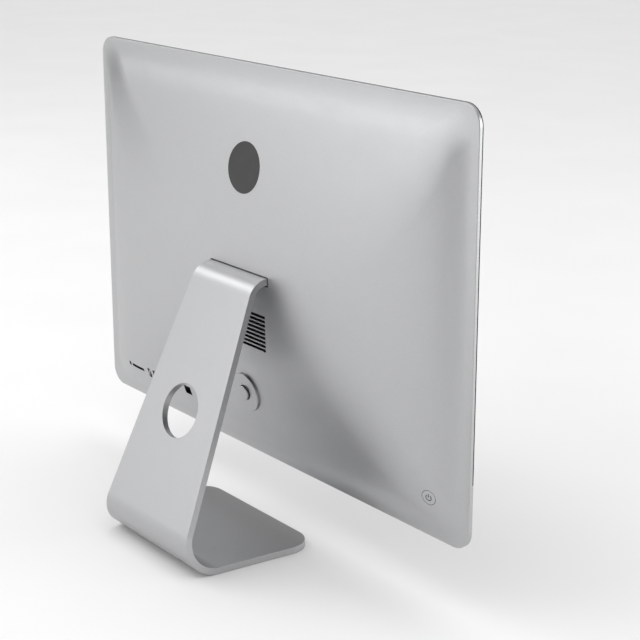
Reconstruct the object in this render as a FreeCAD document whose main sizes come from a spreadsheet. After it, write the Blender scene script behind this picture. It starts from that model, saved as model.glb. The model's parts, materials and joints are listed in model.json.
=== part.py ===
import FreeCAD, Part
import math
import os
import re
import Sketcher

# An all in one computer: a thin display with a domed aluminium back, on a stand bent from one plate.
# Millimetres. +Z is up, the screen faces -Y, and +X is to the right as seen from the front.
# Depths below are measured from the back face of the thin rim, positive towards the rear. place() moves
# every piece forward by half the depth of the whole object, so that the origin is on the desk under
# the middle of the object.

SIZES = {
    # Display body
    "display_width": 650.0,
    "display_height": 447.0,
    "display_bottom": 73.0,
    "corner_round": 21.0,
    "rim_depth": 3.7,
    "rim_edge_round": 0.8,
    "gasket_depth": 0.3,
    "glass_depth": 1.0,
    "glass_gap": 0.2,
    "chin_height": 72.0,
    "bulge_depth": 36.5,
    "lip_width": 22.0,
    "wall": 2.2,
    "ledge": 9.0,
    # Stand
    "plate_gauge": 7.5,
    "plate_top": 300.9,
    "neck_half_width": 50.2,
    "leg_lean": 23.42,
    "neck_corner_depth": 54.85,
    "neck_bend": 26.7,
    "foot_bend": 35.0,
    "foot_lift": 0.4,
    "foot_front": 12.0,
    "foot_corner": 26.0,
    "leg_flare": 0.092,
    "foot_flare": 0.148,
    "tongue_sweep": 38.0,
    "cable_hole_radius": 30.0,
    "cable_hole_height": 156.0,
    "pad_gauge": 1.2,
    "pad_inset": 7.0,
    # Slot and tilt cradle
    "slot_half_width": 52.2,
    "slot_top_gap": 1.0,
    "slot_bottom_gap": 2.4,
    "cradle_sheet": 3.0,
    "cradle_half_width": 76.0,
    "cradle_front": 4.0,
    "running_gap": 0.4,
    "friction_gauge": 0.8,
    # Openings in the back
    "badge_height": 412.0,
    "badge_radius": 28.0,
    "button_side": 281.0,
    "button_height": 122.0,
    "button_radius": 7.6,
    "button_gap": 0.45,
    "inlet_height": 156.0,
    "inlet_radius": 22.5,
    "inlet_raise": 2.5,
    "inlet_socket_radius": 8.0,
    "inlet_socket_depth": 11.0,
    "vent_low": 217.9,
    "vent_pitch": 4.71,
    "vent_slot": 3.2,
    "vent_half_width": 46.5,
    "port_height": 116.5,
    "port_wall": 0.6,
    # Inside
    "panel_half_width": 303.0,
    "board_front": 6.0,
    "board_gauge": 1.6,
    "post_radius": 4.0,
    "screw_radius": 1.5,
    "fan_side": -98.0,
    "fan_height": 206.0,
    "fan_radius": 30.0,
}

VENT_COUNT = 9
FAN_BLADES = 19

# Distances of the dome's sections from the outline; the depth at each comes from dome_depth().
SECTION_INSETS = [0.8, 8, 16, 25, 36, 50, 70, 95, 125, 160, 195, 215]

document = FreeCAD.newDocument("all_in_one_pc")
sheet = document.addObject("Spreadsheet::Sheet", "Sizes")
for row, (alias, value) in enumerate(SIZES.items(), start=1):
    sheet.set(f"A{row}", alias)
    sheet.set(f"B{row}", str(value))
    sheet.setAlias(f"B{row}", alias)
document.recompute()

finished = []

# Longer than anything that a cutter has to pass through.
THROUGH = "60"

HALF_HEIGHT = SIZES["display_height"] / 2
LEAN = math.radians(SIZES["leg_lean"])
LEG_TAN = math.tan(LEAN)

# Where the neck's bend is centred; the display tilts about this line.
NECK_TANGENT = SIZES["neck_bend"] * math.tan((math.pi / 2 - LEAN) / 2)
TILT_DEPTH = SIZES["neck_corner_depth"] - NECK_TANGENT
TILT_HEIGHT = SIZES["plate_top"] - SIZES["neck_bend"]

# The foot's bend: its tangent length, its centre and the rearmost point of the whole object.
FOOT_TANGENT = SIZES["foot_bend"] * math.tan((math.pi / 2 + LEAN) / 2)
LEG_DROP = SIZES["plate_top"] - SIZES["foot_lift"]
FOOT_CORNER_DEPTH = SIZES["neck_corner_depth"] + LEG_DROP * LEG_TAN
FOOT_CENTRE_DEPTH = FOOT_CORNER_DEPTH - FOOT_TANGENT
FOOT_CENTRE_HEIGHT = SIZES["foot_lift"] + SIZES["foot_bend"]
STAND_REAR = FOOT_CENTRE_DEPTH + SIZES["foot_bend"]
GLASS_FRONT_DEPTH = -SIZES["rim_depth"] - SIZES["gasket_depth"] - SIZES["glass_depth"]
DEPTH_CENTRE = (STAND_REAR + GLASS_FRONT_DEPTH) / 2


def linked(formula):
    """A formula with each sheet alias in it turned into a link to its cell."""
    def link(word):
        return "Sizes." + word.group() if word.group() in SIZES else word.group()
    return re.sub(r"[a-z_]\w*", link, str(formula))


def place(item, x, y, z):
    """Put an item's own origin at x, y, z, with y measured from the back of the rim."""
    item.setExpression("Placement.Base.x", linked(x))
    item.setExpression("Placement.Base.y", linked(f"({y}) - {DEPTH_CENTRE:.4f}"))
    item.setExpression("Placement.Base.z", linked(z))


def finish(item, node):
    """Give an item the label that names its file and add it to the assembly."""
    item.Label = node
    finished.append(item)
    return item


def box(name, x, y, z):
    """A block; x, y and z are (low, high) pairs of formulas."""
    item = document.addObject("Part::Box", name)
    for side, (low, high) in zip(("Length", "Width", "Height"), (x, y, z)):
        item.setExpression(side, linked(f"({high}) - ({low})"))
    place(item, x[0], y[0], z[0])
    return item


TURNS = {
    "X": FreeCAD.Rotation(FreeCAD.Vector(0, 1, 0), 90),
    "Y": FreeCAD.Rotation(FreeCAD.Vector(1, 0, 0), -90),
    "Z": FreeCAD.Rotation(),
}


def rod(name, along, radius, length, x, y, z):
    """A cylinder that starts at x, y, z and runs along an axis."""
    item = document.addObject("Part::Cylinder", name)
    item.setExpression("Radius", linked(radius))
    item.setExpression("Height", linked(length))
    item.Placement.Rotation = TURNS[along]
    place(item, x, y, z)
    return item


def fuse(name, *items):
    item = document.addObject("Part::MultiFuse", name)
    item.Shapes = list(items)
    return item


def cut(name, base, *tools):
    """Cut each tool away from the base, one after another."""
    for number, tool in enumerate(tools, start=1):
        item = document.addObject("Part::Cut", name if number == len(tools) else f"{name}_step{number}")
        item.Base = base
        item.Tool = tool
        item.Refine = False
        base = item
    return base


def common(name, first, second):
    item = document.addObject("Part::Common", name)
    item.Base = first
    item.Tool = second
    return item


def group(name, items):
    """Separate solids that share one node, such as a set of screws."""
    item = document.addObject("Part::Compound", name)
    item.Links = list(items)
    return item


def body(name):
    item = document.addObject("PartDesign::Body", name)
    place(item, "0", "0", "0")
    return item


def sketch(owner, name, plane, offset="0"):
    """A sketch on one of its body's own planes, moved along the plane's normal by a formula."""
    item = owner.newObject("Sketcher::SketchObject", name)
    support = [side for side in owner.Origin.OriginFeatures if side.Role == plane][0]
    item.AttachmentSupport = [(support, "")]
    item.MapMode = "FlatFace"
    item.setExpression("AttachmentOffset.Base.z", linked(offset))
    return item


def draw(item, edges):
    """Add edges to a sketch and hold each one where it is drawn."""
    for edge in edges:
        number = item.addGeometry(edge, False)
        item.addConstraint(Sketcher.Constraint("Block", number))


NORMAL = FreeCAD.Vector(0, 0, 1)


def point(x, y):
    return FreeCAD.Vector(x, y, 0)


def outline(points, rounds=None):
    """Edges of a closed straight outline; rounds maps a corner's number to its radius."""
    rounds = rounds or {}
    corners = [point(x, y) for x, y in points]
    ends, starts, arcs = [], [], []
    for number, corner in enumerate(corners):
        before = (corners[number - 1] - corner).normalize()
        after = (corners[(number + 1) % len(corners)] - corner).normalize()
        radius = rounds.get(number, 0)
        half_angle = before.getAngle(after) / 2
        reach = radius / math.tan(half_angle)
        ends.append(corner + before * reach)
        starts.append(corner + after * reach)
        if radius:
            inward = (before + after).normalize()
            middle = corner + inward * (radius / math.sin(half_angle) - radius)
            arcs.append(Part.Arc(ends[-1], middle, starts[-1]))
    lines = [Part.LineSegment(start, ends[(number + 1) % len(corners)])
             for number, start in enumerate(starts)]
    return lines + arcs


def rectangle(left, right, bottom, top):
    return outline([(left, bottom), (right, bottom), (right, top), (left, top)])


def pad(owner, profile, length, rearwards=False):
    item = owner.newObject("PartDesign::Pad", profile.Name + "Pad")
    item.Profile = profile
    item.setExpression("Length", linked(length))
    item.Reversed = rearwards
    return item


def pocket(owner, profile, depth, both_ways=False, flip=False):
    """Cut a profile away and make sure that it took material."""
    document.recompute()
    before = owner.Shape.Volume
    item = owner.newObject("PartDesign::Pocket", profile.Name + "Pocket")
    item.Profile = profile
    item.setExpression("Length", linked(depth))
    item.Reversed = flip
    item.Midplane = both_ways
    document.recompute()
    if owner.Shape.Volume > before - 1:
        raise RuntimeError(f"{item.Name} cut nothing")
    return item


# ---------------------------------------------------------------- dome of the back

CROWN_POWER = 2.5
# Each section's middle sinks and its sides draw in further as its inset grows.
MIDDLE_SINK = 0.13
SIDE_SHARE = 0.25


def dome_depth(inset):
    """Depth of the back at a distance from the outline: a flat lip, a steep flank, a soft crown."""
    crown = 1 - (1 - inset / HALF_HEIGHT) ** CROWN_POWER
    lip = 1 - math.exp(-(inset / SIZES["lip_width"]) ** 2)
    return SIZES["bulge_depth"] * crown * lip


def back_depth(side, height):
    """Depth of the back at a place in its lower half, taken from the nearer edge of the outline."""
    from_side = SIZES["display_width"] / 2 - abs(side)
    from_below = (height - SIZES["display_bottom"]) / (1 - MIDDLE_SINK)
    return dome_depth(min(from_side, from_below))


def dome_section(owner, name, inset, depth, margin):
    """Rounded rectangle of the dome at an inset, drawn in by a margin, at a depth behind the rim."""
    side_inset = inset * (1 + SIDE_SHARE * (inset / HALF_HEIGHT) ** 2)
    corner_share = SIZES["corner_round"] / HALF_HEIGHT + 0.8 * (inset / HALF_HEIGHT) ** 1.2
    right = SIZES["display_width"] / 2 - side_inset - margin
    half_height = HALF_HEIGHT - inset - margin
    radius = (HALF_HEIGHT - inset) * corner_share - margin * (1 - inset / HALF_HEIGHT)
    middle = SIZES["display_bottom"] + HALF_HEIGHT - MIDDLE_SINK * inset
    profile = sketch(owner, name, "XZ_Plane", f"-({depth:.4f})")
    low, high = middle - half_height, middle + half_height
    corners = [(-right, low), (right, low), (right, high), (-right, high)]
    draw(profile, outline(corners, {number: radius for number in range(4)}))
    return profile


def loft(owner, name, sections):
    item = owner.newObject("PartDesign::AdditiveLoft", name)
    item.Profile = sections[0]
    item.Sections = sections[1:]
    return item


def display_outline(owner, name, front, margin=0.0, bottom=None, corners=(0, 1, 2, 3)):
    """Display outline drawn in by a margin, from an optional bottom height, at a depth."""
    profile = sketch(owner, name, "XZ_Plane", f"-({front})")
    right = SIZES["display_width"] / 2 - margin
    low = bottom if bottom is not None else SIZES["display_bottom"] + margin
    high = SIZES["display_bottom"] + SIZES["display_height"] - margin
    radius = SIZES["corner_round"] - margin
    points = [(-right, low), (right, low), (right, high), (-right, high)]
    draw(profile, outline(points, {number: radius for number in corners}))
    return profile


CHIN_TOP = SIZES["display_bottom"] + SIZES["chin_height"]
TOP_CORNERS = (2, 3)


def dome_solid():
    """The back without its hollow: rim, chin and dome."""
    owner = body("DomeSolid")
    rim = pad(owner, display_outline(owner, "RimOutline", "-rim_depth"), "rim_depth", rearwards=True)
    document.recompute()
    rear_edges = [f"Edge{number}" for number, edge in enumerate(rim.Shape.Edges, start=1)
                  if all(abs(vertex.Y) < 1e-6 for vertex in edge.Vertexes)]
    softened = owner.newObject("PartDesign::Fillet", "RimRound")
    softened.Base = (rim, rear_edges)
    softened.setExpression("Radius", linked("rim_edge_round"))
    chin = sketch(owner, "ChinOutline", "XZ_Plane", "rim_depth")
    half_width = SIZES["display_width"] / 2
    low = SIZES["display_bottom"]
    corners = [(-half_width, low), (half_width, low), (half_width, CHIN_TOP), (-half_width, CHIN_TOP)]
    draw(chin, outline(corners, {0: SIZES["corner_round"], 1: SIZES["corner_round"]}))
    pad(owner, chin, "gasket_depth + glass_depth")
    depths = [0.0] + [dome_depth(inset) for inset in SECTION_INSETS[1:]]
    sections = [dome_section(owner, f"Dome{number}", inset, depth, 0.0)
                for number, (inset, depth) in enumerate(zip(SECTION_INSETS, depths))]
    loft(owner, "Dome", sections)
    return owner


def hollow_solid():
    """The space inside the dome, one wall thickness within it."""
    owner = body("HollowSolid")
    wall = SIZES["wall"]
    depths = [-wall] + [dome_depth(inset) - wall for inset in SECTION_INSETS[1:]]
    sections = [dome_section(owner, f"Hollow{number}", inset, depth, wall)
                for number, (inset, depth) in enumerate(zip(SECTION_INSETS, depths))]
    loft(owner, "Hollow", sections)
    return owner


def screen_opening():
    """The opening that the glass covers. The ledge left around it takes the gasket."""
    owner = body("ScreenOpeningSolid")
    bottom = CHIN_TOP + SIZES["ledge"]
    profile = display_outline(owner, "ScreenOpening", "-rim_depth - 2", SIZES["ledge"], bottom, TOP_CORNERS)
    pad(owner, profile, "rim_depth", rearwards=True)
    return owner


dome = dome_solid()
hollow = hollow_solid()
opening = screen_opening()
housing_shell = cut("HousingShell", dome, hollow, opening)


# ---------------------------------------------------------------- stand, bent from one plate

def around(depth, height, radius, degrees):
    """Point on an arc in the side view; the angle runs from straight up towards the rear."""
    turn = math.radians(degrees)
    return point(depth + radius * math.sin(turn), height + radius * math.cos(turn))


def side_arc(depth, height, radius, first, last):
    middle = (first + last) / 2
    return Part.Arc(*(around(depth, height, radius, degrees) for degrees in (first, middle, last)))


GAUGE = SIZES["plate_gauge"]
LEG_ANGLE = 90 - SIZES["leg_lean"]
LEG_START = around(TILT_DEPTH, TILT_HEIGHT, SIZES["neck_bend"], LEG_ANGLE)
LEG_END = around(FOOT_CENTRE_DEPTH, FOOT_CENTRE_HEIGHT, SIZES["foot_bend"], LEG_ANGLE)
NECK_ARC = SIZES["neck_bend"] * math.radians(LEG_ANGLE)
LEG_LENGTH = LEG_START.distanceToPoint(LEG_END)
LEG_START_HALF = SIZES["neck_half_width"] + SIZES["leg_flare"] * NECK_ARC
LEG_END_HALF = LEG_START_HALF + SIZES["leg_flare"] * LEG_LENGTH
BEND_ARC = SIZES["foot_bend"] * math.radians(180 - LEG_ANGLE)
FOOT_START_HALF = LEG_END_HALF + SIZES["foot_flare"] * BEND_ARC
FOOT_LENGTH = FOOT_CENTRE_DEPTH - SIZES["foot_front"]
FOOT_END_HALF = FOOT_START_HALF + SIZES["foot_flare"] * FOOT_LENGTH


def leg_profile():
    """Side view of the tongue inside the display, the neck's bend and the straight leg."""
    outer, inner = SIZES["neck_bend"], SIZES["neck_bend"] - GAUGE
    tongue = -SIZES["tongue_sweep"]
    outer_tongue = around(TILT_DEPTH, TILT_HEIGHT, outer, tongue)
    inner_tongue = around(TILT_DEPTH, TILT_HEIGHT, inner, tongue)
    inner_start = around(TILT_DEPTH, TILT_HEIGHT, inner, LEG_ANGLE)
    inner_end = around(FOOT_CENTRE_DEPTH, FOOT_CENTRE_HEIGHT, SIZES["foot_bend"] - GAUGE, LEG_ANGLE)
    return [
        side_arc(TILT_DEPTH, TILT_HEIGHT, outer, tongue, LEG_ANGLE),
        Part.LineSegment(LEG_START, LEG_END),
        Part.LineSegment(LEG_END, inner_end),
        Part.LineSegment(inner_end, inner_start),
        side_arc(TILT_DEPTH, TILT_HEIGHT, inner, tongue, LEG_ANGLE),
        Part.LineSegment(inner_tongue, outer_tongue),
    ]


def leg_plane_sketch(owner, name):
    """A sketch that lies on the leg's rear face, its Y along the leg and its origin where the leg starts."""
    item = sketch(owner, name, "XZ_Plane")
    item.setExpression("AttachmentOffset.Base.z", None)
    turn = FreeCAD.Rotation(FreeCAD.Vector(1, 0, 0), SIZES["leg_lean"])
    item.AttachmentOffset = FreeCAD.Placement(FreeCAD.Vector(0, LEG_START.y, -LEG_START.x), turn)
    return item


def foot_outline(inset=0.0):
    """Plan of the foot, with round front corners, from its front edge to where the bend starts."""
    front, rear = SIZES["foot_front"] + inset, FOOT_CENTRE_DEPTH - inset
    wide, narrow = FOOT_END_HALF - inset, FOOT_START_HALF - inset
    corners = [(-wide, front), (wide, front), (narrow, rear), (-narrow, rear)]
    corner = SIZES["foot_corner"] - inset
    return outline(corners, {0: corner, 1: corner})


def bend_section(owner, name, degrees, half_width):
    """Cross section of the plate at an angle around the lower bend."""
    item = sketch(owner, name, "XY_Plane")
    item.setExpression("AttachmentOffset.Base.z", None)
    turn = FreeCAD.Rotation(FreeCAD.Vector(1, 0, 0), 90 - degrees)
    item.AttachmentOffset = FreeCAD.Placement(FreeCAD.Vector(0, FOOT_CENTRE_DEPTH, FOOT_CENTRE_HEIGHT), turn)
    draw(item, rectangle(-half_width, half_width, SIZES["foot_bend"] - GAUGE, SIZES["foot_bend"]))
    return item


def stand_plate():
    """One aluminium plate: tongue, neck bend, leg with a cable hole, lower bend and foot."""
    owner = body("StandPlate")
    side = sketch(owner, "LegSide", "YZ_Plane")
    draw(side, leg_profile())
    leg = pad(owner, side, f"{2 * FOOT_END_HALF}")
    leg.Midplane = True
    # The leg narrows upwards as far as the neck; the tongue above it has straight sides.
    neck, top = 18.0, 60.0
    neck_half = LEG_START_HALF - neck * SIZES["leg_flare"]
    bottom = -LEG_LENGTH - top
    lower_half = LEG_END_HALF + top * SIZES["leg_flare"]
    right_side = [(lower_half, bottom), (neck_half, neck), (neck_half, top)]
    left_side = [(-x, y) for x, y in reversed(right_side)]
    trim = leg_plane_sketch(owner, "LegTrim")
    beyond = 2 * FOOT_END_HALF
    draw(trim, rectangle(-beyond, beyond, bottom - neck, top + neck) + outline(right_side + left_side))
    pocket(owner, trim, f"{2 * LEG_LENGTH}", both_ways=True)
    hole = leg_plane_sketch(owner, "CableHole")
    hole_drop = (SIZES["cable_hole_height"] - LEG_START.y) / math.cos(LEAN)
    hole.addGeometry(Part.Circle(point(0, hole_drop), NORMAL, SIZES["cable_hole_radius"]), False)
    number = hole.addConstraint(Sketcher.Constraint("Radius", 0, SIZES["cable_hole_radius"]))
    hole.setExpression(f"Constraints[{number}]", linked("cable_hole_radius"))
    pocket(owner, hole, THROUGH, both_ways=True)
    foot = sketch(owner, "FootPlan", "XY_Plane", "foot_lift")
    draw(foot, foot_outline())
    pad(owner, foot, "plate_gauge")
    spine = sketch(owner, "BendSpine", "YZ_Plane")
    draw(spine, [side_arc(FOOT_CENTRE_DEPTH, FOOT_CENTRE_HEIGHT, SIZES["foot_bend"], LEG_ANGLE, 180)])
    bend = owner.newObject("PartDesign::AdditivePipe", "LowerBend")
    bend.Profile = bend_section(owner, "BendTop", LEG_ANGLE, LEG_END_HALF)
    bend.Spine = spine
    bend.Transformation = "Multisection"
    bend.Sections = [bend_section(owner, "BendFoot", 180, FOOT_START_HALF)]
    bend.Mode = "Standard"
    seat = sketch(owner, "PadSeat", "XY_Plane", "foot_lift")
    draw(seat, foot_outline(SIZES["pad_inset"]))
    pocket(owner, seat, "pad_gauge - foot_lift", flip=True)
    return finish(owner, "stand_plate")


PAD_GAP = 0.3


def foot_pad():
    """Thin pad let into the underside of the foot; it is what rests on the desk."""
    owner = body("FootPad")
    plan = sketch(owner, "FootPadPlan", "XY_Plane")
    draw(plan, foot_outline(SIZES["pad_inset"] + PAD_GAP))
    pad(owner, plan, "pad_gauge")
    return finish(owner, "foot_pad")


def sector(name, inner, outer, half_width, first, last, offset="0"):
    """Part of a ring about the tilt line; angles run from straight up towards the rear."""
    discs = []
    for part, radius, reach in (("outer", outer, half_width), ("inner", inner, f"({half_width}) + 1")):
        disc = document.addObject("Part::Cylinder", f"{name}_{part}")
        disc.setExpression("Radius", linked(radius))
        disc.setExpression("Height", linked(f"2 * ({reach})"))
        disc.setExpression("Angle", linked(last - first) if part == "outer" else "360")
        # The cylinder's axis is turned to +X and its start edge to the first angle.
        lay = FreeCAD.Rotation(FreeCAD.Vector(0, 1, 0), 90)
        start = FreeCAD.Rotation(FreeCAD.Vector(0, 0, 1), 180 - last)
        disc.Placement.Rotation = lay.multiply(start)
        place(disc, f"({offset}) - ({reach})", TILT_DEPTH, TILT_HEIGHT)
        discs.append(disc)
    return cut(name, *discs)


def screw(name, x, y, z, length):
    """Screw driven towards the rear: its head's front face at y, with a hexagonal socket."""
    head = rod(name + "_head", "Y", "1.9 * screw_radius", "screw_radius", x, y, z)
    shank = rod(name + "_shank", "Y", "screw_radius", length, x, y, z)
    socket = document.addObject("Part::Prism", name + "_socket")
    socket.Polygon = 6
    socket.setExpression("Circumradius", linked("0.9 * screw_radius"))
    socket.setExpression("Height", linked("0.6 * screw_radius + 1"))
    socket.Placement.Rotation = TURNS["Y"]
    place(socket, x, f"({y}) - 1", z)
    return cut(name, fuse(name + "_solid", head, shank), socket)


# ---------------------------------------------------------------- openings in the back

def vent_cutters():
    """Straight horizontal slots under the hinge."""
    slots = []
    sides = ("-vent_half_width", "vent_half_width")
    for number in range(VENT_COUNT):
        middle = f"vent_low + {number} * vent_pitch"
        heights = (f"{middle} - vent_slot / 2", f"{middle} + vent_slot / 2")
        slots.append(box(f"VentCutter{number}", sides, ("10", THROUGH), heights))
    return slots


# Ports from the outer side inwards: name, distance from the middle, width and height of the mouth,
# depth of the shell, how far the mouth stands above the port line.
PORTS = [
    ("card_reader", 241.3, 26.6, 2.7, 13.0, 0.0),
    ("usb_socket_1", 214.5, 5.2, 12.0, 14.0, 0.0),
    ("usb_socket_2", 203.0, 5.2, 12.0, 14.0, 0.0),
    ("usb_socket_3", 191.5, 5.2, 12.0, 14.0, 0.0),
    ("usb_socket_4", 180.0, 5.2, 12.0, 14.0, 0.0),
    ("fast_socket_1", 166.5, 4.8, 8.6, 13.0, 0.0),
    ("fast_socket_2", 155.0, 4.8, 8.6, 13.0, 0.0),
    ("network_socket", 131.0, 12.6, 10.6, 15.0, 1.5),
]
JACK_SIDE = 261.0
JACK_BORE = 1.8
JACK_BARREL = 3.0
JACK_DEPTH = 15.0


def port_box(name, port, margin, depths):
    """A block of a port's mouth size grown by a margin."""
    node, side, width, height, depth, lift = port
    middle = f"port_height + {lift}"
    x = (f"{side} - {width / 2} - ({margin})", f"{side} + {width / 2} + ({margin})")
    z = (f"{middle} - {height / 2} - ({margin})", f"{middle} + {height / 2} + ({margin})")
    return box(name, x, depths, z)


def ports():
    """Sheet metal shells that stand behind their mouths and end flush with the dome."""
    mouths = []
    for port in PORTS:
        node, side, width, height, depth, lift = port
        front = back_depth(side, SIZES["port_height"] + lift) - depth
        mouths.append(port_box(node + "_mouth", port, "port_wall", (front, THROUGH)))
        block = port_box(node + "_block", port, "port_wall", (front, THROUGH))
        hollowed = port_box(node + "_hollow", port, "0", (front + 1, THROUGH))
        # The tongue lies along the mouth's longer side.
        across, along = (0.4, 0.14) if width > height else (0.18, 0.36)
        tongue_x = (f"{side} - {width * across}", f"{side} + {width * across}")
        tongue_z = (f"port_height + {lift - height * along}", f"port_height + {lift + height * along}")
        tongue = box(node + "_tongue", tongue_x, (front, front + depth * 0.6), tongue_z)
        shell = common(node + "_shell", cut(node + "_tube", block, hollowed), dome)
        finish(fuse(node, shell, tongue), node)
    return mouths


def headphone_jack():
    """A barrel with a blind bore behind a round hole."""
    front = back_depth(JACK_SIDE, SIZES["port_height"]) - JACK_DEPTH
    barrel = rod("jack_barrel", "Y", JACK_BARREL, THROUGH, JACK_SIDE, front, "port_height")
    bore = rod("jack_bore", "Y", JACK_BORE, THROUGH, JACK_SIDE, front + 1, "port_height")
    finish(common("jack_body", cut("jack_tube", barrel, bore), dome), "headphone_jack")
    return rod("jack_mouth", "Y", JACK_BARREL, THROUGH, JACK_SIDE, front, "port_height")


def badge():
    """Plain round disc that fills its hole and follows the dome."""
    plug = rod("badge_plug", "Y", "badge_radius - 0.05", THROUGH, "0", "0", "badge_height")
    finish(common("badge_disc_body", housing_shell, plug), "badge_disc")
    return rod("badge_mouth", "Y", "badge_radius", THROUGH, "0", "0", "badge_height")


def power_inlet():
    """Round boss that stands proud of the dome. A raised cap closes its socket, over three contacts."""
    x, z = "0", "inlet_height"
    disc = common("inlet_disc", dome, rod("inlet_plug", "Y", "inlet_radius - 0.1", THROUGH, x, "10", z))
    disc.setExpression("Placement.Base.y", linked("inlet_raise"))
    surface = back_depth(0, SIZES["inlet_height"])
    socket_front = f"{surface:.3f} + inlet_raise - inlet_socket_depth"
    socket = rod("inlet_socket", "Y", "inlet_socket_radius", THROUGH, x, socket_front, z)
    finish(cut("inlet_bored", disc, socket), "power_inlet")
    cap_blank = rod("inlet_cap_blank", "Y", "inlet_socket_radius - 0.1", THROUGH, x, surface - 5, z)
    cap = common("inlet_cap_body", dome, cap_blank)
    cap.setExpression("Placement.Base.y", linked("2 * inlet_raise"))
    finish(cap, "inlet_cap")
    contacts = [rod(f"contact_{number}", "Y", "1.1", "5", side, socket_front, f"{z} + {up}")
                for number, (side, up) in enumerate(((-4.0, -2.2), (4.0, -2.2), (0.0, 3.8)))]
    finish(group("contacts", contacts), "inlet_contacts")
    return rod("inlet_mouth", "Y", "inlet_radius", THROUGH, x, "0", z)


def around_button(reach):
    """Low and high formulas that reach to both sides of the button's centre, for x and for z."""
    return [(f"{middle} - {reach}", f"{middle} + {reach}") for middle in ("-button_side", "button_height")]


def power_button():
    """A button that follows the dome, with a stem behind it; the well in the back is a little wider."""
    x, z = "-button_side", "button_height"
    back = back_depth(SIZES["button_side"], SIZES["button_height"])
    cap = common("button_cap", housing_shell, rod("button_plug", "Y", "button_radius", THROUGH, x, "0", z))
    stem = rod("button_stem", "Y", "2.4", "5.5", x, back - 8.5, z)
    finish(fuse("button_whole", cap, stem), "power_button")
    switch_rear = back - 9.9
    switch_front = switch_rear - 2.4
    case_x, case_z = around_button(3.2)
    switch = box("switch_case", case_x, (switch_front, switch_rear), case_z)
    bracket_x, bracket_z = around_button(6)
    bracket = box("switch_bracket", bracket_x, ("-wall", switch_front), bracket_z)
    finish(fuse("switch_whole", switch, bracket), "button_switch")
    return rod("button_mouth", "Y", "button_radius + button_gap", THROUGH, x, "0", z)


def hinge_slot():
    """The wide slot that the neck comes through."""
    heights = ("plate_top - plate_gauge - slot_bottom_gap", "plate_top + slot_top_gap")
    return box("SlotCutter", ("-slot_half_width", "slot_half_width"), ("20", THROUGH), heights)


# Posts inside the back that carry the cradle and the boards: x, z and the depth of each front end.
CRADLE_FRONT = SIZES["cradle_front"] + SIZES["cradle_sheet"]
BOARD_BACK = SIZES["board_front"] + SIZES["board_gauge"]
CRADLE_POSTS = [(side * 68.0, height, CRADLE_FRONT) for side in (-1, 1) for height in (264.0, 308.0)]
BOARD_POSTS = [(-126.0, 178.0, BOARD_BACK), (-126.0, 242.0, BOARD_BACK),
               (124.0, 178.0, BOARD_BACK), (124.0, 242.0, BOARD_BACK)]
SUPPLY_POSTS = [(146.0, 258.0, BOARD_BACK), (236.0, 258.0, BOARD_BACK), (146.0, 334.0, BOARD_BACK)]
DRIVE_POSTS = [(-232.0, 262.0, BOARD_BACK), (-146.0, 262.0, BOARD_BACK), (-146.0, 366.0, BOARD_BACK)]
POSTS = CRADLE_POSTS + BOARD_POSTS + SUPPLY_POSTS + DRIVE_POSTS


def rear_housing():
    """The one piece aluminium back with its posts and all of its openings."""
    posts = [rod(f"Post{number}", "Y", "post_radius", THROUGH, x, depth, z)
             for number, (x, z, depth) in enumerate(POSTS)]
    hollow_between = cut("HollowBetweenPosts", hollow, fuse("AllPosts", *posts))
    whole = cut("ShellWithPosts", dome, hollow_between, opening)
    bored = [rod(f"PostBore{number}", "Y", "screw_radius", "9", x, f"{depth} - 1", z)
             for number, (x, z, depth) in enumerate(POSTS)]
    cutters = [hinge_slot(), *vent_cutters(), *ports(), headphone_jack()]
    cutters += [badge(), power_inlet(), power_button(), *bored]
    opened = cut("OpenedHousing", whole, fuse("Cutters", *cutters))
    return finish(opened, "rear_housing")


# ---------------------------------------------------------------- screen

def front_glass():
    """Cover glass from the chin's top edge to the top of the display."""
    owner = body("FrontGlass")
    bottom = CHIN_TOP + SIZES["glass_gap"]
    plan = display_outline(owner, "GlassOutline", "-rim_depth - gasket_depth", 0.0, bottom, TOP_CORNERS)
    pad(owner, plan, "glass_depth")
    return finish(owner, "front_glass")


def glass_gasket():
    """Adhesive frame between the glass and the ledge, set in a little from the edge."""
    owner = body("GlassGasket")
    outer = display_outline(owner, "GasketOuter", "-rim_depth", 0.7, CHIN_TOP + 1, TOP_CORNERS)
    pad(owner, outer, "gasket_depth")
    inner = display_outline(owner, "GasketInner", "-rim_depth", 8.0, CHIN_TOP + 8, TOP_CORNERS)
    pocket(owner, inner, "5", both_ways=True)
    return finish(owner, "glass_gasket")


def lcd_panel():
    """Display panel bonded behind the glass: a wide front layer and a smaller backlight layer."""
    front = "-rim_depth - gasket_depth"
    layer_x = ("-panel_half_width", "panel_half_width")
    light_x = ("-panel_half_width + 22", "panel_half_width - 22")
    layer = box("panel_layer", layer_x, (front, "-1.6"), (CHIN_TOP + 11, "502"))
    light = box("panel_light", light_x, ("-1.6", "1.8"), (CHIN_TOP + 16, "480"))
    return finish(fuse("panel_body", layer, light), "lcd_panel")


def camera_module():
    """Camera on its board, centred above the panel."""
    front = "-rim_depth - gasket_depth"
    board = box("camera_board", ("-14", "14"), ("-2.9", "-2.3"), ("504.5", "510.5"))
    lens = rod("camera_lens", "Y", "2.4", "1.2", "0", front, "507.5")
    return finish(fuse("camera_body", board, lens), "camera_module")


def microphones():
    """Two small microphones beside the camera."""
    front = "-rim_depth - gasket_depth"
    parts = [rod(f"microphone_{number}", "Y", "1.8", "1.2", side, front, "507.5")
             for number, side in enumerate((-34, 34))]
    return finish(group("microphone_pair", parts), "microphones")


# ---------------------------------------------------------------- tilt cradle

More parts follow.
